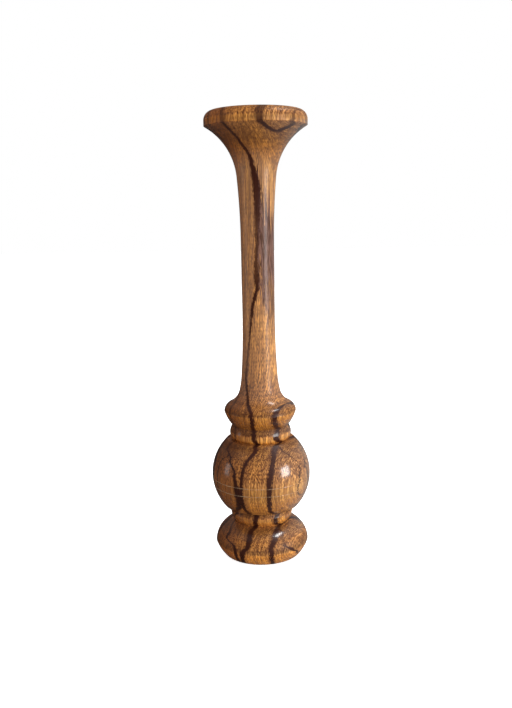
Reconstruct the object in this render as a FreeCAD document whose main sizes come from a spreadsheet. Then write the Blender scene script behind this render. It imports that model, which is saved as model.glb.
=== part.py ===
import FreeCAD, Part
import math
import os
import Sketcher

# Dip pen stand: a turned hardwood stand with a trumpet mouth, on a weighted bell foot.
# Every piece is round about the Z axis, and Z = 0 is the surface that the stand rests on.
# The wood is one blank, sawn across at its two deepest grooves. Loose dowels rejoin it, so
# that its figure still runs straight through. A brass tube lines the bore for the pen.

# Driving dimensions in millimetres. A "height" is measured up from the resting surface.
DIMENSIONS = {
    # Foot: a full shoulder that ends at a crisp edge, over a band that runs under.
    "foot_lift": 0.5,
    "foot_base_radius": 18.7,
    "foot_edge_radius": 22.5,
    "foot_edge_height": 6.7,
    "foot_band_round": 18.0,
    "foot_shoulder_round": 11.3,
    "neck_groove_radius": 13.2,
    "neck_groove_height": 17.2,
    # Ball, with a bead under it and a bead over it, and two scribed lines round it.
    "neck_bead_radius": 15.0,
    "neck_bead_height": 21.4,
    "neck_bead_low_round": 8.0,
    "neck_bead_top_round": 12.0,
    "neck_bead_top_radius": 13.8,
    "neck_bead_top_height": 24.2,
    "ball_radius": 23.7,
    "ball_centre_height": 40.5,
    "ball_low_height": 25.2,
    "ball_high_height": 57.8,
    "upper_bead_low_radius": 13.9,
    "upper_bead_low_height": 58.1,
    "upper_bead_radius": 14.7,
    "upper_bead_height": 61.7,
    "upper_bead_low_round": 6.0,
    "upper_bead_top_round": 12.0,
    "bead_softening": 0.7,
    "upper_scribe_height": 39.6,
    "lower_scribe_height": 35.7,
    "scribe_depth": 0.22,
    # Collar: a shoulder that ends at a crisp edge, over a band that runs under.
    "collar_groove_radius": 13.5,
    "collar_groove_height": 64.8,
    "collar_band_round": 20.0,
    "collar_edge_radius": 17.2,
    "collar_edge_height": 71.6,
    # Stem: a straight waist between tangent arcs. They run up to the rim, and down through
    # a tight cove that turns over into the collar's shoulder.
    "collar_turn_height": 75.5,
    "collar_cove_round": 8.6,
    "low_cove_end_height": 81.2,
    "low_cove_round": 39.0,
    "low_flare_end_height": 88.0,
    "low_flare_round": 373.0,
    "waist_radius": 7.7,
    "waist_low_height": 115.0,
    "waist_high_height": 151.0,
    "high_flare_round": 330.0,
    "high_flare_end_height": 181.0,
    # Rim and dished mouth.
    "rim_radius": 23.5,
    "rim_edge_height": 203.3,
    "rim_top_height": 210.0,
    "rim_round": 4.2,
    "mouth_radius": 17.6,
    "mouth_cove_round": 10.8,
    "mouth_floor_radius": 6.9,
    "mouth_floor_height": 199.4,
    "mouth_edge_fillet": 0.7,
    "edge_softening": 0.25,
    # Bore, its tube and the cushion at its foot.
    "bore_floor_height": 80.0,
    "tube_bottom_height": 84.0,
    "tube_outer_radius": 5.0,
    "tube_inner_radius": 4.5,
    "tube_lip_radius": 6.7,
    "tube_lip_height": 0.6,
    "cushion_radius": 5.0,
    "cushion_height": 3.8,
    # Dowels. Each is given by how far it reaches below and above its joint.
    "foot_dowel_radius": 5.0,
    "foot_dowel_below": 8.0,
    "foot_dowel_above": 10.0,
    "stem_dowel_radius": 6.0,
    "stem_dowel_below": 14.0,
    "stem_dowel_above": 11.0,
    "dowel_chamfer": 0.8,
    "socket_spare_depth": 0.5,
    "glue_gap": 0.05,
    # Weight and felt let into the underside of the foot.
    "felt_radius": 16.0,
    "felt_height": 1.6,
    "ballast_radius": 14.0,
    "ballast_height": 5.0,
}

doc = FreeCAD.newDocument("DipPenStand")
sheet = doc.addObject("Spreadsheet::Sheet", "Dimensions")
for row, (alias, number) in enumerate(DIMENSIONS.items(), start=1):
    sheet.set("A%d" % row, alias)
    sheet.set("B%d" % row, str(number))
    sheet.setAlias("B%d" % row, alias)
doc.recompute()


def value_of(expression):
    """The value of a sum of aliases and numbers, such as "rim_radius - rim_round"."""
    total = 0.0
    sign = 1.0
    for word in expression.split():
        if word in ("+", "-"):
            sign = 1.0 if word == "+" else -1.0
        elif word in DIMENSIONS:
            total += sign * DIMENSIONS[word]
        else:
            total += sign * float(word)
    return total


def bound(expression):
    """The same sum as an expression on the sheet's cells."""
    words = expression.split()
    return " ".join("Dimensions." + word if word in DIMENSIONS else word for word in words)


def new_body(label, raised_by=None):
    """A body at the origin, or raised by an expression."""
    body = doc.addObject("PartDesign::Body", label)
    body.Label = label
    body.Placement = FreeCAD.Placement()
    if raised_by:
        body.setExpression("Placement.Base.z", bound(raised_by))
    return body


def half_section(body, name):
    """An empty sketch in the body's XZ plane: sketch X is the radius, sketch Y the height."""
    plane = [item for item in body.Origin.OriginFeatures if item.Role == "XZ_Plane"][0]
    sketch = body.newObject("Sketcher::SketchObject", name)
    sketch.AttachmentSupport = [(plane, "")]
    sketch.MapMode = "FlatFace"
    return sketch


def arc_between(start, end, radius, bulges):
    """The short arc from start to end. It bulges away from the axis or is hollow."""
    chord = end - start
    middle = (start + end) / 2
    to_left = FreeCAD.Vector(-chord.y, chord.x, 0).normalize()
    offset = math.sqrt(max(radius**2 - chord.Length**2 / 4, 0.0))
    centre = middle + to_left * (offset if bulges else -offset)
    first, second = (start, end) if bulges else (end, start)
    first_angle = math.atan2(first.y - centre.y, first.x - centre.x)
    second_angle = math.atan2(second.y - centre.y, second.x - centre.x)
    circle = Part.Circle(centre, FreeCAD.Vector(0, 0, 1), radius)
    return Part.ArcOfCircle(circle, first_angle, second_angle)


def draw_outline(sketch, corners, edges, smooth=()):
    """Draws a closed outline, anticlockwise, and ties it to the sheet.

    A corner is (radius, height), each a sum of aliases. A radius can also be a plain number:
    0 lies on the axis, and any other is a first guess that tangency then makes exact.
    An edge is "line", ("bulge", round) or ("hollow", round). A round that is a plain number
    is a first guess too. The edges that meet at a corner listed in smooth are tangent there.
    """
    places = []
    for radius, height in corners:
        across = value_of(radius) if isinstance(radius, str) else radius
        places.append(FreeCAD.Vector(across, value_of(height), 0))
    start_point = []
    end_point = []
    for index, edge in enumerate(edges):
        start = places[index]
        end = places[(index + 1) % len(places)]
        if edge == "line":
            sketch.addGeometry(Part.LineSegment(start, end), False)
            start_point.append(1)
            end_point.append(2)
            continue
        shape, radius = edge
        bulges = shape == "bulge"
        length = value_of(radius) if isinstance(radius, str) else radius
        sketch.addGeometry(arc_between(start, end, length, bulges), False)
        start_point.append(1 if bulges else 2)
        end_point.append(2 if bulges else 1)
    for index in range(len(edges)):
        before = (index - 1) % len(edges)
        link = "Tangent" if index in smooth else "Coincident"
        pair = (before, end_point[before], index, start_point[index])
        sketch.addConstraint(Sketcher.Constraint(link, *pair))
    for index, (radius, height) in enumerate(corners):
        point = (index, start_point[index])
        if radius == 0:
            sketch.addConstraint(Sketcher.Constraint("PointOnObject", *point, -2))
        elif isinstance(radius, str):
            bind_sum(sketch, "DistanceX", (-1, 1) + point, radius, "radius_%d" % index)
        bind_sum(sketch, "DistanceY", (-1, 1) + point, height, "height_%d" % index)
    for index, edge in enumerate(edges):
        if edge != "line" and isinstance(edge[1], str):
            bind_sum(sketch, "Radius", (index,), edge[1], "round_%d" % index)
    if sketch.solve() != 0:
        raise RuntimeError(sketch.Name + " has no solution")


def bind(sketch, kind, place, number, expression, name):
    """One dimension of the sketch, bound to an expression on the sheet."""
    index = sketch.addConstraint(Sketcher.Constraint(kind, *place, number))
    sketch.renameConstraint(index, name)
    sketch.setExpression("Constraints." + name, expression)


def bind_sum(sketch, kind, place, expression, name):
    """One dimension of the sketch, bound to a sum of aliases."""
    bind(sketch, kind, place, value_of(expression), bound(expression), name)


def turn(body, name, corners, edges, smooth=()):
    """Adds material by turning an outline about the body's axis."""
    sketch = half_section(body, name + "_outline")
    draw_outline(sketch, corners, edges, smooth)
    feature = body.newObject("PartDesign::Revolution", name)
    feature.Profile = sketch
    feature.ReferenceAxis = (sketch, ["V_Axis"])
    feature.Angle = 360
    doc.recompute()


def recess(body, name, corners, edges):
    """Takes material away by turning an outline about the body's axis."""
    sketch = half_section(body, name + "_outline")
    draw_outline(sketch, corners, edges)
    groove(body, name, sketch)


def groove(body, name, sketch):
    """Turns a sketch about the body's axis and cuts it away."""
    volume_before = body.Shape.Volume
    feature = body.newObject("PartDesign::Groove", name)
    feature.Profile = sketch
    feature.ReferenceAxis = (sketch, ["V_Axis"])
    feature.Angle = 360
    doc.recompute()
    if not body.Shape.Volume < volume_before:
        raise RuntimeError(name + " cut nothing")


def rod_corners(radius, low, high):
    """The corners of a plain cylinder's half-section."""
    return [(0, low), (radius, low), (radius, high), (0, high)]


def soften(body, name, places, radius):
    """Rounds the circular edges at the given (radius, height) places."""
    base = body.Tip
    names = []
    for number, edge in enumerate(base.Shape.Edges, start=1):
        if not isinstance(edge.Curve, Part.Circle):
            continue
        for across, height in places:
            same_radius = abs(edge.Curve.Radius - value_of(across)) < 1e-4
            same_height = abs(edge.Curve.Center.z - value_of(height)) < 1e-4
            if same_radius and same_height:
                names.append("Edge%d" % number)
    if len(names) != len(places):
        raise RuntimeError(name + " found %d edges" % len(names))
    feature = body.newObject("PartDesign::Fillet", name)
    feature.Base = (base, names)
    feature.setExpression("Radius", bound(radius))
    doc.recompute()


def make_foot_section():
    body = new_body("foot_section")
    corners = [
        (0, "foot_lift"),
        ("foot_base_radius", "foot_lift"),
        ("foot_edge_radius", "foot_edge_height"),
        ("neck_groove_radius", "neck_groove_height"),
        (0, "neck_groove_height"),
    ]
    edges = [
        "line",
        ("bulge", "foot_band_round"),
        ("bulge", "foot_shoulder_round"),
        "line",
        "line",
    ]
    turn(body, "band_and_shoulder", corners, edges)
    edge_places = [
        ("foot_edge_radius", "foot_edge_height"),
        ("foot_base_radius", "foot_lift"),
    ]
    soften(body, "foot_edges", edge_places, "edge_softening")
    socket = rod_corners(
        "foot_dowel_radius + glue_gap",
        "neck_groove_height - foot_dowel_below - socket_spare_depth",
        "neck_groove_height",
    )
    recess(body, "dowel_socket", socket, ["line"] * 4)
    steps = [
        (0, "0"),
        ("felt_radius + glue_gap", "0"),
        ("felt_radius + glue_gap", "felt_height"),
        ("ballast_radius + glue_gap", "felt_height"),
        ("ballast_radius + glue_gap", "felt_height + ballast_height + glue_gap"),
        (0, "felt_height + ballast_height + glue_gap"),
    ]
    recess(body, "underside", steps, ["line"] * 6)


def scribe(body, name, height):
    """A fine round-bottomed line cut round the ball at a height."""
    rise = value_of(height + " - ball_centre_height")
    surface = math.sqrt(value_of("ball_radius") ** 2 - rise**2)
    surface_rule = "sqrt(%s^2 - (%s)^2)" % (bound("ball_radius"), bound(height + " - ball_centre_height"))
    sketch = half_section(body, name + "_outline")
    centre = FreeCAD.Vector(surface, value_of(height), 0)
    circle = Part.Circle(centre, FreeCAD.Vector(0, 0, 1), value_of("scribe_depth"))
    sketch.addGeometry(circle, False)
    bind(sketch, "DistanceX", (-1, 1, 0, 3), surface, surface_rule, "radius_of_line")
    bind_sum(sketch, "DistanceY", (-1, 1, 0, 3), height, "height_of_line")
    bind_sum(sketch, "Radius", (0,), "scribe_depth", "depth_of_line")
    groove(body, name, sketch)


def make_ball_section():
    body = new_body("ball_section")
    rise_low = value_of("ball_low_height - ball_centre_height")
    rise_high = value_of("ball_high_height - ball_centre_height")
    ball_low_radius = math.sqrt(value_of("ball_radius") ** 2 - rise_low**2)
    ball_high_radius = math.sqrt(value_of("ball_radius") ** 2 - rise_high**2)
    corners = [
        (0, "neck_groove_height"),
        ("neck_groove_radius", "neck_groove_height"),
        ("neck_bead_radius", "neck_bead_height"),
        ("neck_bead_top_radius", "neck_bead_top_height"),
        (ball_low_radius, "ball_low_height"),
        (ball_high_radius, "ball_high_height"),
        ("upper_bead_low_radius", "upper_bead_low_height"),
        ("upper_bead_radius", "upper_bead_height"),
        ("collar_groove_radius", "collar_groove_height"),
        (0, "collar_groove_height"),
    ]
    edges = [
        "line",
        ("bulge", "neck_bead_low_round"),
        ("bulge", "neck_bead_top_round"),
        "line",
        ("bulge", "ball_radius"),
        "line",
        ("bulge", "upper_bead_low_round"),
        ("bulge", "upper_bead_top_round"),
        "line",
        "line",
    ]
    turn(body, "ball_and_beads", corners, edges)
    bead_places = [
        ("neck_bead_radius", "neck_bead_height"),
        ("upper_bead_radius", "upper_bead_height"),
    ]
    soften(body, "bead_edges", bead_places, "bead_softening")
    low_socket = rod_corners(
        "foot_dowel_radius + glue_gap",
        "neck_groove_height",
        "neck_groove_height + foot_dowel_above + socket_spare_depth",
    )
    recess(body, "low_dowel_socket", low_socket, ["line"] * 4)
    high_socket = rod_corners(
        "stem_dowel_radius + glue_gap",
        "collar_groove_height - stem_dowel_below - socket_spare_depth",
        "collar_groove_height",
    )
    recess(body, "high_dowel_socket", high_socket, ["line"] * 4)
    scribe(body, "upper_line", "upper_scribe_height")
    scribe(body, "lower_line", "lower_scribe_height")


def make_stem_section():
    body = new_body("stem_section")
    # The four plain radii are first guesses that the tangent arcs settle.
    corners = [
        (0, "collar_groove_height"),
        ("collar_groove_radius", "collar_groove_height"),
        ("collar_edge_radius", "collar_edge_height"),
        (14.7, "collar_turn_height"),
        (9.6, "low_cove_end_height"),
        (8.7, "low_flare_end_height"),
        ("waist_radius", "waist_low_height"),
        ("waist_radius", "waist_high_height"),
        (9.1, "high_flare_end_height"),
        ("rim_radius", "rim_edge_height"),
        ("rim_radius", "rim_top_height - rim_round"),
        ("rim_radius - rim_round", "rim_top_height"),
        (0, "rim_top_height"),
    ]
    edges = [
        "line",
        ("bulge", "collar_band_round"),
        ("bulge", 4.3),
        ("hollow", "collar_cove_round"),
        ("hollow", "low_cove_round"),
        ("hollow", "low_flare_round"),
        "line",
        ("hollow", "high_flare_round"),
        ("hollow", 28.0),
        "line",
        ("bulge", "rim_round"),
        "line",
        "line",
    ]
    turn(body, "collar_stem_and_rim", corners, edges, smooth=(3, 4, 5, 6, 7, 8))
    crisp_places = [
        ("collar_edge_radius", "collar_edge_height"),
        ("rim_radius", "rim_edge_height"),
    ]
    soften(body, "collar_and_rim_edges", crisp_places, "edge_softening")
    mouth = [
        (0, "mouth_floor_height"),
        ("mouth_floor_radius", "mouth_floor_height"),
        ("mouth_radius", "rim_top_height"),
        (0, "rim_top_height"),
    ]
    recess(body, "mouth_dish", mouth, ["line", ("bulge", "mouth_cove_round"), "line", "line"])
    soften(body, "mouth_edge", [("mouth_radius", "rim_top_height")], "mouth_edge_fillet")
    bore = rod_corners("tube_outer_radius + glue_gap", "bore_floor_height", "mouth_floor_height")
    recess(body, "pen_bore", bore, ["line"] * 4)
    socket = rod_corners(
        "stem_dowel_radius + glue_gap",
        "collar_groove_height",
        "collar_groove_height + stem_dowel_above + socket_spare_depth",
    )
    recess(body, "dowel_socket_in_stem", socket, ["line"] * 4)


def make_rod(label, radius, length, raised_by, chamfer=None):
    """A plain cylinder standing at a height, with its ends chamfered where asked."""
    body = new_body(label, raised_by)
    if chamfer is None:
        turn(body, label + "_blank", rod_corners(radius, "0", length), ["line"] * 4)
        return
    corners = [
        (0, "0"),
        (radius + " - " + chamfer, "0"),
        (radius, chamfer),
        (radius, length + " - " + chamfer),
        (radius + " - " + chamfer, length),
        (0, length),
    ]
    turn(body, label + "_blank", corners, ["line"] * 6)


def make_bore_tube():
    """The brass tube, with a lip that lies on the floor of the mouth."""
    body = new_body("bore_tube", "tube_bottom_height")
    lip_bottom = "mouth_floor_height - tube_bottom_height"
    corners = [
        ("tube_inner_radius", "0"),
        ("tube_outer_radius", "0"),
        ("tube_outer_radius", lip_bottom),
        ("tube_lip_radius", lip_bottom),
        ("tube_lip_radius", lip_bottom + " + tube_lip_height"),
        ("tube_inner_radius", lip_bottom + " + tube_lip_height"),
    ]
    turn(body, "tube_and_lip", corners, ["line"] * 6)


make_foot_section()
make_ball_section()
make_stem_section()
make_rod(
    "foot_dowel",
    "foot_dowel_radius",
    "foot_dowel_below + foot_dowel_above",
    "neck_groove_height - foot_dowel_below",
    "dowel_chamfer",
)
make_rod(
    "stem_dowel",
    "stem_dowel_radius",
    "stem_dowel_below + stem_dowel_above",
    "collar_groove_height - stem_dowel_below",
    "dowel_chamfer",
)
make_bore_tube()
make_rod("nib_cushion", "cushion_radius", "cushion_height", "bore_floor_height")
make_rod("ballast_disc", "ballast_radius", "ballast_height", "felt_height")
make_rod("felt_pad", "felt_radius", "felt_height", None)
doc.recompute()

for item in doc.Objects:
    if "Invalid" in item.State or "Error" in item.State:
        raise RuntimeError(item.Name + " failed: " + str(item.State))
pieces = [item for item in doc.Objects if item.isDerivedFrom("PartDesign::Body")]
for body in pieces:
    if body.Shape.isNull() or not body.Shape.isValid():
        raise RuntimeError(body.Label + " has no valid shape")

os.makedirs("parts", exist_ok=True)
for body in pieces:
    body.Shape.exportStep("parts/" + body.Label + ".step")
    box = body.Shape.optimalBoundingBox()
    facts = (body.Label, body.Shape.Volume, box.ZMin, box.ZMax, box.XLength)
    print("%-13s %8.1f mm3, height %6.2f to %6.2f, width %5.2f" % facts)
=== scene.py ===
import math

import bmesh
import bpy
from mathutils import Matrix, Vector


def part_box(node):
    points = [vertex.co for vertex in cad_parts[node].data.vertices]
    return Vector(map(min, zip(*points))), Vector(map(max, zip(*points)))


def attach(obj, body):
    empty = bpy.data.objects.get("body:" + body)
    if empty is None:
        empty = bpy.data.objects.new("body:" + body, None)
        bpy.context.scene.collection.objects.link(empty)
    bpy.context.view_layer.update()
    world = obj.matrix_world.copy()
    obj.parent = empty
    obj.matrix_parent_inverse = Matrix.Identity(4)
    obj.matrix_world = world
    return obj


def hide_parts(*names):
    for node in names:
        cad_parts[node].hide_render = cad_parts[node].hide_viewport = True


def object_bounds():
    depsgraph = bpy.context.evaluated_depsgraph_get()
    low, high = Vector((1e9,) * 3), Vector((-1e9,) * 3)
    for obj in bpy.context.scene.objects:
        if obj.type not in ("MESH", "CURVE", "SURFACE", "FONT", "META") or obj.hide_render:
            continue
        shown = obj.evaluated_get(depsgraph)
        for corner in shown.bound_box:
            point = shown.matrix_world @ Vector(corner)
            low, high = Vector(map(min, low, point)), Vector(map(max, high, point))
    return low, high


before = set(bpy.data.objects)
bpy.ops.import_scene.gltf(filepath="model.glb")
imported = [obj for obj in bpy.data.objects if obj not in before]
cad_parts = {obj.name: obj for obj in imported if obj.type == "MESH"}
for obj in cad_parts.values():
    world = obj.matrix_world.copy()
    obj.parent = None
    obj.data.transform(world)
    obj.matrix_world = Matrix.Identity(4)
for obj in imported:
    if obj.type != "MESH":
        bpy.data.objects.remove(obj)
cad_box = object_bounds()
height = cad_box[1].z


# Nodes. A value is a number, a colour or the output of another node.

class Nodes:
    """Adds nodes to one node tree."""

    def __init__(self, tree):
        self.tree = tree

    def add(self, kind, inputs=(), output=0, **settings):
        node = self.tree.nodes.new("ShaderNode" + kind)
        for name, setting in settings.items():
            setattr(node, name, setting)
        for socket, value in dict(inputs).items():
            self.plug(value, node.inputs[socket])
        return node.outputs[output]

    def plug(self, value, socket):
        if isinstance(value, bpy.types.NodeSocket):
            self.tree.links.new(value, socket)
        else:
            socket.default_value = value

    def math(self, operation, *values):
        return self.add("Math", dict(enumerate(values)), operation=operation)

    def product(self, first, second):
        return self.math("MULTIPLY", first, second)

    def highest(self, values):
        highest, *others = values
        for value in others:
            highest = self.math("MAXIMUM", highest, value)
        return highest

    def scaled(self, vector, factors):
        return self.add("VectorMath", {0: vector, 1: factors}, operation="MULTIPLY")

    def split(self, vector):
        node = self.add("SeparateXYZ", {0: vector}).node
        return node.outputs[0], node.outputs[1], node.outputs[2]

    def joined(self, x, y, z):
        return self.add("CombineXYZ", {0: x, 1: y, 2: z})

    def step(self, value, low, high):
        """0 below low and 1 above high, smoothly. With low over high it falls instead."""
        return self.add("MapRange", {0: value, 1: low, 2: high}, interpolation_type="SMOOTHSTEP")

    def span(self, value, low, high, low_result, high_result):
        inputs = {0: value, 1: low, 2: high, 3: low_result, 4: high_result}
        return self.add("MapRange", inputs)


class MaterialNodes(Nodes):
    """Builds one material. Places are in millimetres in the stand's own frame."""

    def __init__(self, name):
        self.material = bpy.data.materials.new(name)
        self.material.use_nodes = True
        super().__init__(self.material.node_tree)
        self.shader = self.tree.nodes["Principled BSDF"]
        place = self.add("TexCoord", output="Object")
        self.place = self.scaled(place, (1000, 1000, 1000))
        self.x, self.y, self.z = self.split(self.place)
        flat_square = self.math("ADD", self.math("POWER", self.x, 2), self.math("POWER", self.y, 2))
        self.radius = self.math("SQRT", flat_square)

    def noise(self, vector, detail=2.0, roughness=0.5):
        """Smooth noise about 0.5, with features about one unit of the vector across."""
        inputs = {"Vector": vector, "Scale": 1.0, "Detail": detail, "Roughness": roughness}
        return self.add("TexNoise", inputs)

    def cells(self, vector, randomness=1.0):
        """Distance to the nearest of the points that are scattered about one unit apart."""
        inputs = {"Vector": vector, "Scale": 1.0, "Randomness": randomness}
        return self.add("TexVoronoi", inputs, output="Distance")

    def distance_from(self, level):
        """Distance from a level, measured straight up or down."""
        return self.math("ABSOLUTE", self.math("SUBTRACT", self.z, level))

    def blend(self, share, first, second, blend_type="MIX"):
        return self.add("Mix", {0: share, 6: first, 7: second}, 2, data_type="RGBA", blend_type=blend_type)

    def stained(self, colour, mask, strength, stain):
        """The colour with a stain over it where the mask is."""
        return self.blend(self.product(mask, strength), colour, stain)

    def ramp(self, value, stops):
        """Colour along a value. A stop is (value from 0 to 1, red, green, blue)."""
        node = self.add("ValToRGB", {0: value}).node
        elements = node.color_ramp.elements
        while len(elements) < len(stops):
            elements.new(1.0)
        for element, (position, *colour) in zip(elements, stops):
            element.position = position
            element.color = (*colour, 1)
        return node.outputs[0]

    def bump(self, relief, depth):
        """A normal for relief from 0 to 1, with the depth in metres."""
        return self.add("Bump", {"Height": relief, "Strength": 1.0, "Distance": depth})

    def finish(self, **inputs):
        """Plugs the values into the shader, by the names of its inputs with _ for a space."""
        for name, value in inputs.items():
            self.plug(value, self.shader.inputs[name.replace("_", " ")])
        return self.material


# Wood, in millimetres. Its dark veins are sheets that run up through the whole stand, so that
# one sheet shows on the foot, the ball, the collar, the stem and the rim.

WOOD_TOP = 1000 * height
# The sheets go this far to the right for each millimetre that they go back, and the fibres
# lean this far to the front for each millimetre that they rise.
GRAIN_SLANT = 0.6
GRAIN_LEAN = 0.11
END_GRAIN_DIRECTION = (0, -0.2, 0.98)
# Below the polished radius the polish thins, below the stem sheen radius the stem gets a
# painted pale sheen and a rougher finish, and neither changes below the slim radius.
SLIM_RADIUS = 9
STEM_SHEEN_RADIUS = 14
POLISHED_RADIUS = 20
# Two fine lines are cut round the ball.
SCRIBED_LEVELS = (35.7, 39.6)
# Heights, each with its reach, at which the polish is thin: the foot's edge, three creases and
# the rim.
DULL_LEVELS = ((6.7, 5.8), (23.0, 1.6), (57.8, 2.4), (72.0, 2.4), (208.5, 4.0))

# A vein's course lists heights, each with the vein's place across the grain, its half width
# and, from 0 to 1, its darkness.
LEFT_VEIN = [
    (0, 0.9, 1.4, 1.0), (7.7, 2.8, 1.6, 1.0), (10, 5.6, 1.5, 1.0),
    (12.7, 5.5, 1.6, 1.0), (16.5, 4.0, 1.5, 1.0), (18, 5.2, 1.3, 1.0), (22.8, 6.0, 1.3, 1.0),
    (25.7, 4.8, 1.2, 1.0), (29, 3.1, 1.1, 1.0), (44, 3.8, 1.1, 1.0),
    (48.3, 4.1, 1.0, 1.0), (51.4, 5.1, 1.0, 1.0), (56, 8.2, 1.2, 1.0), (60, 5.8, 1.3, 1.0),
    (65, 4.6, 1.3, 1.0), (71, 6.0, 1.3, 1.0), (74, 5.3, 1.1, 1.0), (77, 0.8, 1.0, 1.0),
    (81, -1.2, 0.9, 0.9), (88, -2.9, 0.8, 0.9), (98, -2.0, 0.5, 0.6), (112, 0.1, 0.6, 0.9),
    (122, 1.4, 0.8, 1.0), (130, 3.9, 1.1, 1.0), (141, 3.7, 1.0, 0.9), (153, 4.4, 0.8, 0.75),
    (176, 5.0, 1.7, 1.0), (190, 3.6, 0.9, 1.0), (202.5, -3.0, 0.9, 0.9),
    (204, -3.1, 1.1, 0.6), (210, -4.0, 1.4, 0.5),
]
RIGHT_VEIN = [
    (0, 16.0, 1.0, 1.0), (3, 16.6, 1.0, 1.0), (7, 17.6, 1.0, 1.0), (9.5, 16.7, 1.1, 1.0),
    (12.5, 17.4, 1.3, 1.0), (15, 16.8, 1.3, 1.0), (18, 14.2, 1.0, 1.0), (22.5, 14.7, 1.0, 1.0),
    (25, 16.7, 1.1, 1.0), (27, 15.6, 0.9, 1.0), (32, 16.6, 1.0, 1.0), (38, 17.6, 1.2, 1.0),
    (46, 17.9, 1.3, 1.0), (52, 17.6, 1.2, 1.0), (57, 16.1, 1.2, 1.0), (61, 14.9, 1.3, 1.0),
    (66, 14.9, 1.2, 1.0), (72, 16.0, 1.2, 1.0), (75.3, 16.6, 1.5, 1.0), (78, 14.6, 1.0, 0.9),
    (194, 16.0, 0.8, 0.0), (197, 17.6, 1.2, 0.1), (198.9, 18.8, 1.4, 0.2),
    (199.2, 18.6, 1.6, 1.0), (199.8, 17.8, 1.6, 1.0), (200.3, 16.9, 1.2, 1.0),
    (202.6, 15.6, 1.4, 1.0), (205, 15.7, 1.8, 0.8), (210, 15.4, 2.2, 0.75),
]
EDGE_VEIN = [
    (0, 24.3, 0.6, 0.9), (3.4, 24.3, 0.6, 0.9), (6, 25.4, 0.7, 1.0), (8.8, 24.0, 0.8, 1.0),
    (9.2, 22.8, 0.8, 0.9), (11, 21.5, 0.6, 0.5), (15, 19.0, 0.6, 0.5), (17, 14.9, 0.7, 0.9),
    (26, 27.2, 0.4, 0.6), (32, 26.0, 0.4, 0.8), (41, 27.3, 0.5, 0.9), (46, 26.8, 0.5, 0.9),
    (50, 25.1, 0.3, 0.8), (53, 22.6, 0.3, 0.8), (55, 19.9, 0.4, 0.8), (58, 16.0, 0.6, 0.9),
    (59, 22.0, 0.3, 0.9), (77, 22.0, 0.3, 1.0), (198, 25.0, 0.8, 0.0), (199.2, 18.6, 1.4, 1.0),
    (199.9, 20.2, 1.5, 1.0), (201, 22.6, 1.4, 1.0), (202.6, 25.6, 1.2, 0.8),
    (204.3, 26.6, 1.1, 0.6), (207, 26.4, 1.2, 0.5), (210, 26.0, 1.2, 0.5),
]
FORKED_VEIN = [
    (0, -1.8, 1.1, 1.0), (8, -1.8, 1.1, 1.0), (10, -3.2, 1.1, 1.0), (11, -8.0, 1.0, 1.0),
    (11.8, -10.4, 1.0, 1.0), (14.3, -8.6, 0.9, 0.9), (17, -11.0, 0.6, 0.8), (20, -9.6, 0.6, 0.8),
    (26, -3.0, 1.2, 0.9), (29, 0.2, 1.9, 1.0), (32, 1.2, 2.3, 1.0), (38, 1.2, 2.3, 1.0),
    (41.5, 0.2, 1.4, 1.0), (44, -0.7, 1.0, 1.0), (47, -0.9, 0.8, 1.0), (49, -3.0, 0.8, 1.0),
    (50.8, -5.2, 0.8, 1.0), (52.5, -4.9, 0.8, 1.0), (53.5, -6.5, 0.7, 1.0), (55, -10.5, 0.6, 0.9),
    (60, -7.0, 0.5, 0.8), (68, -8.0, 0.6, 0.7), (74, -9.0, 0.9, 0.7), (90, -8.5, 0.6, 0.5),
    (150, -7.0, 0.6, 0.5), (190, -10.0, 0.8, 0.5), (203, -14.0, 0.6, 0.5), (210, -15.0, 1.0, 0.7),
]
THIN_VEIN = [
    (0, -12.5, 0.4, 0.6), (20, -13.5, 0.3, 0.4), (35, -14.2, 0.3, 0.8), (45, -13.8, 0.35, 1.0),
    (49, -13.0, 0.35, 1.0), (51, -11.0, 0.35, 1.0), (52.7, -7.0, 0.4, 1.0), (56, -9.0, 0.4, 0.7),
    (60, -12.0, 0.4, 0.7), (70, -15.0, 0.5, 0.7), (195, -17.5, 0.5, 0.7), (210, -19.0, 0.7, 0.8),
]
BACK_VEIN = [
    (0, -18.5, 0.9, 1.0), (10, -20.5, 0.9, 1.0), (18, -15.5, 0.9, 1.0), (27, -18.0, 0.8, 1.0),
    (40, -19.5, 1.1, 1.0), (52, -18.4, 0.8, 1.0), (58, -16.0, 1.0, 1.0), (70, -17.8, 1.0, 1.0),
    (76, -15.0, 0.8, 1.0), (198, -21.5, 0.8, 1.0), (204, -23.5, 1.2, 0.9), (210, -22.5, 1.2, 0.8),
]
FAR_BACK_VEIN = [
    (0, -23.6, 0.5, 0.9), (9, -25.5, 0.6, 0.9), (30, -24.2, 0.5, 0.8), (41, -25.9, 0.6, 0.9),
    (50, -24.6, 0.5, 0.8), (58, -22.0, 0.6, 0.9), (200, -27.0, 0.6, 0.9), (210, -27.0, 0.6, 0.8),
]
# How light the wood is at each height: painted highlights pale along the edges, and painted shade darkens
# the turned creases, the faces just above the crisp edges and the top of the ball; the trumpet darkens
# towards the rim.
PAINTED_LIGHT_BY_HEIGHT = [
    (0, 0.95), (6.5, 1.25), (7.2, 0.55), (9, 0.7), (12, 0.95), (16, 0.6), (17.5, 1.1),
    (21.5, 1.2), (22.5, 0.7), (24.5, 0.65), (28, 0.85), (42, 1.0), (50, 0.85), (57.5, 0.5),
    (58.3, 1.05), (61.5, 1.2), (62.3, 0.6), (65, 0.6), (67, 0.75), (71.3, 0.95), (72, 0.55),
    (75, 0.8), (79, 1.0), (150, 1.0), (184, 0.85), (197, 0.5), (202, 0.7), (203.5, 1.05),
    (210, 1.0),
]
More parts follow.
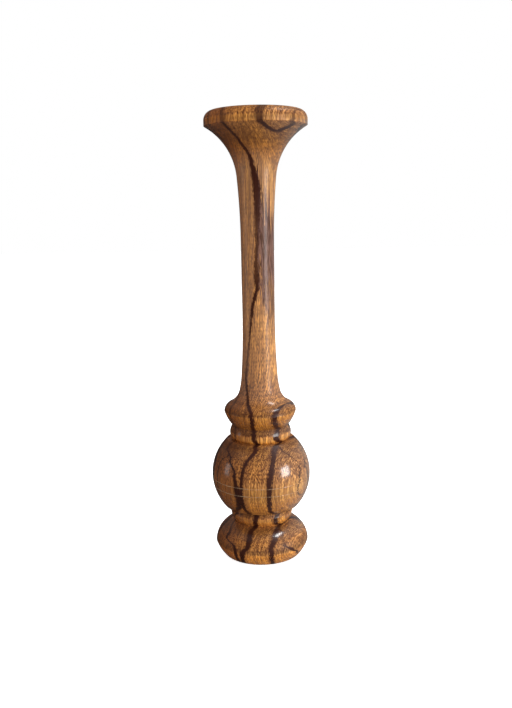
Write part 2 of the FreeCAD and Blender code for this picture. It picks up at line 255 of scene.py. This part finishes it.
# The dark band at the right of the stem is a broad vein with a course of its own.
STEM_BAND = [
    (106, 9.6, 0.2, 0.0), (113, 8.9, 0.7, 0.5), (120, 8.5, 1.0, 0.7), (127, 8.4, 1.5, 0.8),
    (131, 8.0, 2.1, 0.9), (135, 7.3, 2.8, 1.0), (160, 7.2, 2.8, 1.0), (166, 6.9, 2.4, 1.0),
    (168, 6.3, 1.6, 1.0), (175, 5.7, 0.8, 1.0), (183, 5.3, 0.1, 0.0),
]

# A ramp's colours run from 0 to 1, so its values are stored as shares of these reaches.
PLACE_REACH = 30
WIDTH_REACH = 4
TONE_REACH = 2
# The colour of the wood changes from this far left of the middle to this far right of it.
COLOUR_REACH = 26
# The ends of the band are drawn out along the fibres, up or down by this much at the most.
SPIKE_REACH = 37.8
# How far an edge fades to each side, as a share of the half width.
BAND_EDGE = 0.3
VEIN_EDGE = 0.4
HALO_EDGE = 2.5
LAYER_BROWN = (0.15, 0.056, 0.022, 1)
ROW_BROWN = (0.12, 0.038, 0.012, 1)
PATCH_BROWN = (0.2, 0.07, 0.02, 1)
PORE_BROWN = (0.06, 0.018, 0.007, 1)
HALO_BROWN = (0.15, 0.05, 0.016, 1)
PAINTED_SHEEN_GREY = (0.45, 0.38, 0.32, 1)
SCRIBED_LINE_HIGHLIGHT = (0.5, 0.34, 0.2, 1)
VEIN_COLOURS = (0.012, 0.002, 0.001, 1), (0.05, 0.012, 0.006, 1)
BAND_COLOURS = (0.14, 0.07, 0.058, 1), (0.04, 0.014, 0.01, 1)


def sheet_mask(nodes, across, z, cut, course, softness):
    """1 inside a sheet that follows a course, and 0 away from it.

    The cut is 1 where the surface cuts through the sheet and less where it runs along it, so
    that a vein doesn't spread there.
    """
    stops = [
        (level / WOOD_TOP, place / (2 * PLACE_REACH) + 0.5, half_width / WIDTH_REACH, darkness)
        for level, place, half_width, darkness in course
    ]
    rise = nodes.math("DIVIDE", z, WOOD_TOP)
    place, half_width, darkness = nodes.split(nodes.ramp(rise, stops))
    place = nodes.span(place, 0, 1, -PLACE_REACH, PLACE_REACH)
    distance = nodes.math("ABSOLUTE", nodes.math("SUBTRACT", across, place))
    half_width = nodes.product(nodes.product(half_width, WIDTH_REACH), cut)
    inner = nodes.product(half_width, 1 - softness)
    outer = nodes.product(half_width, 1 + softness)
    return nodes.product(nodes.step(distance, outer, inner), darkness)


# Painted highlights and painted shade by height, as a factor on the colour.
def painted_light_by_height(nodes):
    stops = [(level / WOOD_TOP, *[tone / TONE_REACH] * 3) for level, tone in PAINTED_LIGHT_BY_HEIGHT]
    tone = nodes.ramp(nodes.math("DIVIDE", nodes.z, WOOD_TOP), stops)
    return nodes.product(nodes.split(tone)[0], TONE_REACH)


def grain(nodes, across_size, ring_size, length):
    """Places in units of these sizes, along fibres that lean to the front as they rise."""
    leaning_y = nodes.math("MULTIPLY_ADD", nodes.z, GRAIN_LEAN, nodes.y)
    across = nodes.math("MULTIPLY_ADD", leaning_y, -GRAIN_SLANT, nodes.x)
    along_ring = nodes.math("MULTIPLY_ADD", nodes.x, GRAIN_SLANT, leaning_y)
    return nodes.joined(
        nodes.math("DIVIDE", across, across_size),
        nodes.math("DIVIDE", along_ring, ring_size),
        nodes.math("DIVIDE", nodes.z, length),
    )


def splintered_places(nodes):
    """The place across the grain, with splinters and sway in it, and the cut of the sheets."""
    across = nodes.math("MULTIPLY_ADD", nodes.y, -GRAIN_SLANT, nodes.x)
    farthest = nodes.product(nodes.radius, math.sqrt(1 + GRAIN_SLANT**2))
    share = nodes.math("DIVIDE", across, nodes.math("MAXIMUM", farthest, 0.1))
    cut = nodes.math("SUBTRACT", 1, nodes.math("POWER", share, 2))
    cut = nodes.math("SQRT", nodes.math("MAXIMUM", cut, 0.01))
    cut = nodes.math("MINIMUM", nodes.product(cut, 1.5), 1)

    splinters = nodes.noise(grain(nodes, 0.7, 0.7, 1.8), detail=3.0, roughness=0.7)
    sway = nodes.noise(grain(nodes, 5.0, 8.0, 14.0))
    shift = nodes.math("ADD", nodes.product(splinters, 2.8), nodes.product(sway, 0.8))
    shift = nodes.math("SUBTRACT", shift, 1.8)
    return nodes.math("MULTIPLY_ADD", shift, cut, across), cut


def squareness(nodes):
    """How squarely the surface cuts the fibres, and how far it faces down, from 0 to 1."""
    normal = nodes.add("NewGeometry", output="Normal")
    inputs = {0: normal, 1: END_GRAIN_DIRECTION}
    facing = nodes.add("VectorMath", inputs, "Value", operation="DOT_PRODUCT")
    end_grain = nodes.highest([nodes.step(facing, 0.1, 0.38), nodes.step(facing, -0.3, -0.85)])
    return end_grain, nodes.step(facing, 0.0, -0.3)


def plain_colour(nodes, across, end_grain, under):
    """The gold to brown of the wood, without pores and veins."""
    side = nodes.ramp(nodes.span(across, -COLOUR_REACH, COLOUR_REACH, 0, 1), [
        (0.0, 0.22, 0.065, 0.011),
        (0.4, 0.31, 0.108, 0.021),
        (0.56, 0.48, 0.205, 0.043),
        (0.8, 0.5, 0.235, 0.055),
        (1.0, 0.5, 0.245, 0.07),
    ])
    square_cut = nodes.blend(1.0, side, (0.98, 0.9, 0.95, 1), "MULTIPLY")
    underside = nodes.blend(1.0, side, (1.08, 0.9, 0.62, 1), "MULTIPLY")
    colour = nodes.blend(under, side, underside)
    return nodes.blend(end_grain, colour, square_cut)


def figured_hardwood():
    nodes = MaterialNodes("figured_hardwood")
    across, cut = splintered_places(nodes)
    end_grain, under = squareness(nodes)
    colour = plain_colour(nodes, across, end_grain, under)

    # The soft layers of each year's growth, in rows and patches.
    layers = nodes.noise(grain(nodes, 1.4, 30.0, 70.0), detail=2.0)
    rows = nodes.step(nodes.noise(grain(nodes, 0.45, 2.5, 25.0), detail=1.0), 0.4, 0.6)
    patches = nodes.noise(grain(nodes, 7.0, 14.0, 45.0), detail=1.0)
    colour = nodes.stained(colour, nodes.step(layers, 0.4, 0.66), 0.5, LAYER_BROWN)
    colour = nodes.stained(colour, rows, nodes.span(end_grain, 0, 1, 0.55, 0.75), ROW_BROWN)
    colour = nodes.stained(colour, nodes.step(patches, 0.5, 0.75), 0.3, PATCH_BROWN)

    # Rays and pores, painted highlights and shade by height, and a painted pale sheen on the stem.
    rays = nodes.noise(grain(nodes, 0.45, 0.45, 11.0), detail=3.0, roughness=0.6)
    # Grain rays, times the painted highlights and shade by height.
    rays_and_painted_light = nodes.product(nodes.span(rays, 0.3, 0.7, 0.55, 1.7), painted_light_by_height(nodes))
    colour = nodes.blend(1.0, colour, nodes.joined(rays_and_painted_light, rays_and_painted_light, rays_and_painted_light), "MULTIPLY")
    pores = nodes.step(nodes.cells(grain(nodes, 0.76, 0.68, 2.0), 0.6), 0.58, 0.2)
    colour = nodes.stained(colour, pores, nodes.span(end_grain, 0, 1, 0.4, 0.9), PORE_BROWN)
    # A painted pale sheen over the slim stem; the same mask makes the stem rougher.
    stem_sheen_and_dullness = nodes.product(nodes.step(nodes.radius, STEM_SHEEN_RADIUS, SLIM_RADIUS), 0.1)
    colour = nodes.blend(stem_sheen_and_dullness, colour, PAINTED_SHEEN_GREY)

    # Veins with a brown halo, and the streaky dark band of the stem.
    wide_veins = (LEFT_VEIN, RIGHT_VEIN, FORKED_VEIN, BACK_VEIN)
    all_veins = (*wide_veins, EDGE_VEIN, THIN_VEIN, FAR_BACK_VEIN)
    veins = nodes.highest(
        [sheet_mask(nodes, across, nodes.z, cut, vein, VEIN_EDGE) for vein in all_veins]
    )
    halo = nodes.highest(
        [sheet_mask(nodes, across, nodes.z, cut, vein, HALO_EDGE) for vein in wide_veins]
    )
    spikes = nodes.noise(grain(nodes, 0.9, 0.9, 30.0), detail=2.0)
    spike = nodes.span(spikes, 0, 1, -SPIKE_REACH, SPIKE_REACH)
    band = sheet_mask(nodes, across, nodes.math("ADD", nodes.z, spike), 1, STEM_BAND, BAND_EDGE)
    streaks = nodes.step(nodes.noise(grain(nodes, 0.7, 0.7, 28.0), detail=2.0), 0.42, 0.58)
    colour = nodes.stained(colour, halo, 0.35, HALO_BROWN)
    colour = nodes.stained(colour, band, 0.9, nodes.blend(streaks, *BAND_COLOURS))
    colour = nodes.stained(colour, veins, 0.985, nodes.blend(rays, *VEIN_COLOURS))

    # A painted highlight along the scribed lines, as if their lower face caught the light, stronger in some
    # places than in others.
    scribed = nodes.highest(
        [nodes.step(nodes.distance_from(level), 0.35, 0.1) for level in SCRIBED_LEVELS]
    )
    colour = nodes.stained(colour, scribed, nodes.span(layers, 0.35, 0.65, 0.1, 0.45), SCRIBED_LINE_HIGHLIGHT)

    # A gloss that is thinner on the stem, in the creases and over pores.
    dullness = nodes.math("MULTIPLY_ADD", pores, 0.3, end_grain)
    roughness = nodes.span(dullness, 0, 1.3, 0.27, 0.45)
    roughness = nodes.math("MULTIPLY_ADD", stem_sheen_and_dullness, 0.8, roughness)
    polish = nodes.span(nodes.radius, SLIM_RADIUS, POLISHED_RADIUS, 0.1, 0.95)
    for level, reach in DULL_LEVELS:
        shine = nodes.step(nodes.distance_from(level), reach - 1, reach + 1)
        polish = nodes.product(polish, shine)
    relief = nodes.math("MULTIPLY_ADD", pores, -0.6, rays)
    return nodes.finish(
        Base_Color=colour,
        Roughness=roughness,
        Specular_IOR_Level=0.2,
        Normal=nodes.bump(relief, 0.00003),
        Coat_Weight=polish,
        Coat_Roughness=0.14,
    )


def plain_hardwood():
    """The dowels: pale straight-grained wood."""
    nodes = MaterialNodes("plain_hardwood")
    streaks = nodes.noise(nodes.scaled(nodes.place, (1.6, 1.6, 0.08)), detail=4.0, roughness=0.6)
    pores = nodes.step(nodes.cells(nodes.scaled(nodes.place, (2.2, 2.2, 0.2))), 0.35, 0.1)
    colour = nodes.blend(streaks, (0.52, 0.33, 0.17, 1), (0.3, 0.16, 0.07, 1))
    colour = nodes.stained(colour, pores, 0.4, (0.16, 0.08, 0.035, 1))
    relief = nodes.math("SUBTRACT", streaks, pores)
    return nodes.finish(Base_Color=colour, Roughness=0.6, Normal=nodes.bump(relief, 0.00005))


def drawn_brass():
    """The bore tube: lathe rings and drawing lines, with a slight tarnish."""
    nodes = MaterialNodes("drawn_brass")
    lines = nodes.noise(nodes.scaled(nodes.place, (6, 6, 0.15)), detail=3.0)
    tarnish = nodes.noise(nodes.scaled(nodes.place, (0.25, 0.25, 0.25)), detail=4.0, roughness=0.6)
    rings = nodes.noise(nodes.scaled(nodes.place, (0, 0, 5)), detail=2.0)
    colour = nodes.blend(nodes.step(tarnish, 0.45, 0.7), (0.72, 0.5, 0.2, 1), (0.42, 0.26, 0.1, 1))
    roughness = nodes.span(tarnish, 0.3, 0.7, 0.22, 0.42)
    normal = nodes.bump(nodes.math("ADD", lines, rings), 0.00001)
    return nodes.finish(Base_Color=colour, Metallic=1.0, Roughness=roughness, Normal=normal)


def pressed_cork():
    nodes = MaterialNodes("pressed_cork")
    grains = nodes.cells(nodes.scaled(nodes.place, (1.1, 1.1, 1.1)))
    specks = nodes.noise(nodes.scaled(nodes.place, (3, 3, 3)), detail=4.0, roughness=0.7)
    colour = nodes.blend(nodes.step(grains, 0.1, 0.7), (0.52, 0.33, 0.17, 1), (0.3, 0.16, 0.07, 1))
    colour = nodes.blend(nodes.step(specks, 0.58, 0.7), colour, (0.1, 0.045, 0.02, 1))
    relief = nodes.math("SUBTRACT", specks, grains)
    return nodes.finish(Base_Color=colour, Roughness=0.9, Normal=nodes.bump(relief, 0.0002))


def turned_steel():
    nodes = MaterialNodes("turned_steel")
    cuts = nodes.noise(nodes.joined(nodes.product(nodes.radius, 4), 0.0, 0.0), detail=2.0)
    stain = nodes.noise(nodes.scaled(nodes.place, (0.2, 0.2, 0.2)), detail=3.0)
    colour = nodes.blend(nodes.step(stain, 0.4, 0.7), (0.5, 0.49, 0.47, 1), (0.3, 0.29, 0.28, 1))
    roughness = nodes.span(stain, 0.3, 0.7, 0.3, 0.5)
    normal = nodes.bump(cuts, 0.00002)
    return nodes.finish(Base_Color=colour, Metallic=1.0, Roughness=roughness, Normal=normal)


def wool_felt():
    nodes = MaterialNodes("wool_felt")
    hairs = nodes.noise(nodes.scaled(nodes.place, (2.5, 2.5, 2.5)), detail=8.0, roughness=0.75)
    clumps = nodes.noise(nodes.scaled(nodes.place, (0.35, 0.35, 0.35)), detail=2.0)
    colour = nodes.blend(hairs, (0.035, 0.05, 0.03, 1), (0.13, 0.16, 0.09, 1))
    colour = nodes.stained(colour, clumps, 0.4, (0.04, 0.05, 0.03, 1))
    normal = nodes.bump(hairs, 0.0004)
    return nodes.finish(Base_Color=colour, Roughness=0.95, Sheen_Weight=0.4, Normal=normal)


def dress(name, material):
    """Gives a CAD node one material."""
    for slot in bpy.data.objects[name].material_slots:
        slot.link = "OBJECT"
        slot.material = material


# Felt under the foot: a disc that bulges a little where it is pressed and frays at its edge.

def make_felt():
    low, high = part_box("felt_pad")
    radius = high[0]
    thickness = high[2]
    rings = [
        (0.0, 0.0), (0.5, 0.0), (0.85, 0.0), (0.955, 0.0), (0.985, 0.12), (0.998, 0.4),
        (0.995, 0.7), (0.98, 0.9), (0.95, 1.0), (0.5, 1.0), (0.0, 1.0),
    ]
    steps = 96
    mesh = bpy.data.meshes.new("felt_disc")
    work = bmesh.new()
    loops = []
    for share, level in rings:
        if share == 0:
            loops.append([work.verts.new((0, 0, level * thickness))])
            continue
        loop = []
        for step in range(steps):
            angle = 2 * math.pi * step / steps
            fray = 1 - 0.004 * (1 + math.sin(7 * angle + 9 * level)) * (share > 0.9)
            reach = radius * share * fray
            place = (reach * math.cos(angle), reach * math.sin(angle), level * thickness)
            loop.append(work.verts.new(place))
        loops.append(loop)
    for inner, outer in zip(loops[:-1], loops[1:]):
        for step in range(steps):
            ahead = (step + 1) % steps
            if len(inner) == 1:
                work.faces.new((inner[0], outer[ahead], outer[step]))
            elif len(outer) == 1:
                work.faces.new((inner[step], inner[ahead], outer[0]))
            else:
                work.faces.new((inner[step], inner[ahead], outer[ahead], outer[step]))
    bmesh.ops.recalc_face_normals(work, faces=work.faces)
    for face in work.faces:
        face.smooth = True
    work.to_mesh(mesh)
    work.free()
    felt = bpy.data.objects.new("felt_disc", mesh)
    bpy.context.scene.collection.objects.link(felt)
    mesh.materials.append(wool_felt())
    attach(felt, "root")
    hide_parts("felt_pad")


# Camera: a little below the rim and looking down, with the stand leaning slightly to the left.

CAMERA_DISTANCE = 1.75 * height
CAMERA_HEIGHT = 0.788 * height
CAMERA_PITCH = math.radians(10.3)
CAMERA_YAW = math.radians(-0.24)
CAMERA_ROLL = math.radians(-0.98)
CAMERA_LENS = 40.0


def make_camera():
    forward = Vector((
        math.sin(CAMERA_YAW) * math.cos(CAMERA_PITCH),
        math.cos(CAMERA_YAW) * math.cos(CAMERA_PITCH),
        -math.sin(CAMERA_PITCH),
    ))
    level = Vector((math.cos(CAMERA_YAW), -math.sin(CAMERA_YAW), 0))
    above = level.cross(forward)
    right = math.cos(CAMERA_ROLL) * level + math.sin(CAMERA_ROLL) * above
    up = right.cross(forward)
    data = bpy.data.cameras.new("camera")
    data.sensor_width = 36
    data.lens = CAMERA_LENS
    data.clip_start = 0.01
    camera = bpy.data.objects.new("camera", data)
    camera.matrix_world = Matrix.Translation((0, -CAMERA_DISTANCE, CAMERA_HEIGHT)) @ Matrix((
        (right.x, up.x, -forward.x, 0),
        (right.y, up.y, -forward.y, 0),
        (right.z, up.z, -forward.z, 0),
        (0, 0, 0, 1),
    ))
    bpy.context.scene.collection.objects.link(camera)
    bpy.context.scene.camera = camera


# Floor and light: a bright white table, a white room that is darker at the front left, and
# windows at the right and the left.

WHITE = (1, 1, 1, 1)
DARKEST_WALL = 0.03
SOFT_ALL_ROUND = 0.15


def make_floor():
    mesh = bpy.data.meshes.new("floor")
    half = 3.0
    corners = [(-half, -half, 0), (half, -half, 0), (half, half, 0), (-half, half, 0)]
    mesh.from_pydata(corners, [], [(0, 1, 2, 3)])
    floor = bpy.data.objects.new("floor", mesh)
    bpy.context.scene.collection.objects.link(floor)
    nodes = MaterialNodes("floor_white")
    mesh.materials.append(nodes.finish(
        Base_Color=(0.8, 0.8, 0.8, 1),
        Roughness=0.9,
        Emission_Color=WHITE,
        Emission_Strength=0.75,
    ))
    floor.visible_diffuse = False
    floor.visible_glossy = False


def make_window(name, bearing, rise, distance, width, length, power, mirrored=True):
    """A rectangular light, aimed at the stand.

    Its bearing is in degrees right of the front, and its power is in watts. One that isn't
    mirrored doesn't show in the polish.
    """
    aim = Vector((0, 0, height / 2))
    turn = math.radians(bearing)
    place = Vector((distance * math.sin(turn), -distance * math.cos(turn), rise))
    data = bpy.data.lights.new(name, "AREA")
    data.shape = "RECTANGLE"
    data.size = width
    data.size_y = length
    data.energy = power
    light = bpy.data.objects.new(name, data)
    light.visible_camera = False
    light.visible_glossy = mirrored
    light.location = place
    light.rotation_euler = (aim - place).to_track_quat("-Z", "Y").to_euler()
    bpy.context.scene.collection.objects.link(light)


def make_room():
    """The backdrop is white. The polish mirrors a room that is lighter at the right and above.

    The table and the back of the room throw soft light on the stand.
    """
    world = bpy.data.worlds.new("room")
    world.use_nodes = True
    nodes = Nodes(world.node_tree)
    x, y, z = nodes.split(nodes.add("TexCoord", output="Generated"))
    from_right = nodes.math("MULTIPLY_ADD", y, 0.1, nodes.product(x, 0.55))
    from_above = nodes.product(nodes.math("MAXIMUM", z, 0), 0.2)
    mirrored = nodes.math("ADD", nodes.math("MAXIMUM", from_right, 0), from_above)
    mirrored = nodes.math("ADD", mirrored, DARKEST_WALL)

    from_back = nodes.product(nodes.math("MAXIMUM", y, 0), 0.6)
    from_table = nodes.product(nodes.math("MAXIMUM", nodes.product(z, -1), 0), 0.7)
    soft = nodes.math("ADD", nodes.math("ADD", from_back, from_table), SOFT_ALL_ROUND)
    soft = nodes.product(soft, nodes.add("LightPath", output="Is Diffuse Ray"))
    backdrop = nodes.add("LightPath", output="Is Camera Ray")
    strength = nodes.math("MAXIMUM", nodes.math("ADD", mirrored, soft), backdrop)
    background = nodes.tree.nodes["Background"]
    nodes.plug(strength, background.inputs["Strength"])
    nodes.plug(WHITE, background.inputs["Color"])
    bpy.context.scene.world = world


make_camera()
make_felt()
figured = figured_hardwood()
for name in ("foot_section", "ball_section", "stem_section"):
    dress(name, figured)
dowel_wood = plain_hardwood()
for name in ("foot_dowel", "stem_dowel"):
    dress(name, dowel_wood)
dress("bore_tube", drawn_brass())
dress("nib_cushion", pressed_cork())
dress("ballast_disc", turned_steel())
make_floor()
make_room()
make_window("window_right", bearing=58, rise=0.13, distance=0.55, width=0.20, length=0.18, power=1.6)
make_window("window_high", bearing=84, rise=0.95, distance=0.50, width=0.42, length=0.14, power=4.4)
make_window("window_left", bearing=-86, rise=0.10, distance=0.60, width=0.14, length=0.20, power=0.15)
make_window(
    "room_left", bearing=-70, rise=0.30, distance=0.26, width=0.20, length=0.10, power=0.2, mirrored=False,
)
make_window(
    "room_back", bearing=200, rise=0.5, distance=1.2, width=1.0, length=0.6, power=9.0, mirrored=False,
)
make_window(
    "room_front", bearing=22, rise=0.5, distance=1.2, width=1.0, length=0.6, power=7.3, mirrored=False,
)
make_window(
    "table_card", bearing=8, rise=0.004, distance=0.14, width=0.30, length=0.06, power=0.11, mirrored=False,
)
bpy.context.scene.view_settings.view_transform = "Standard"
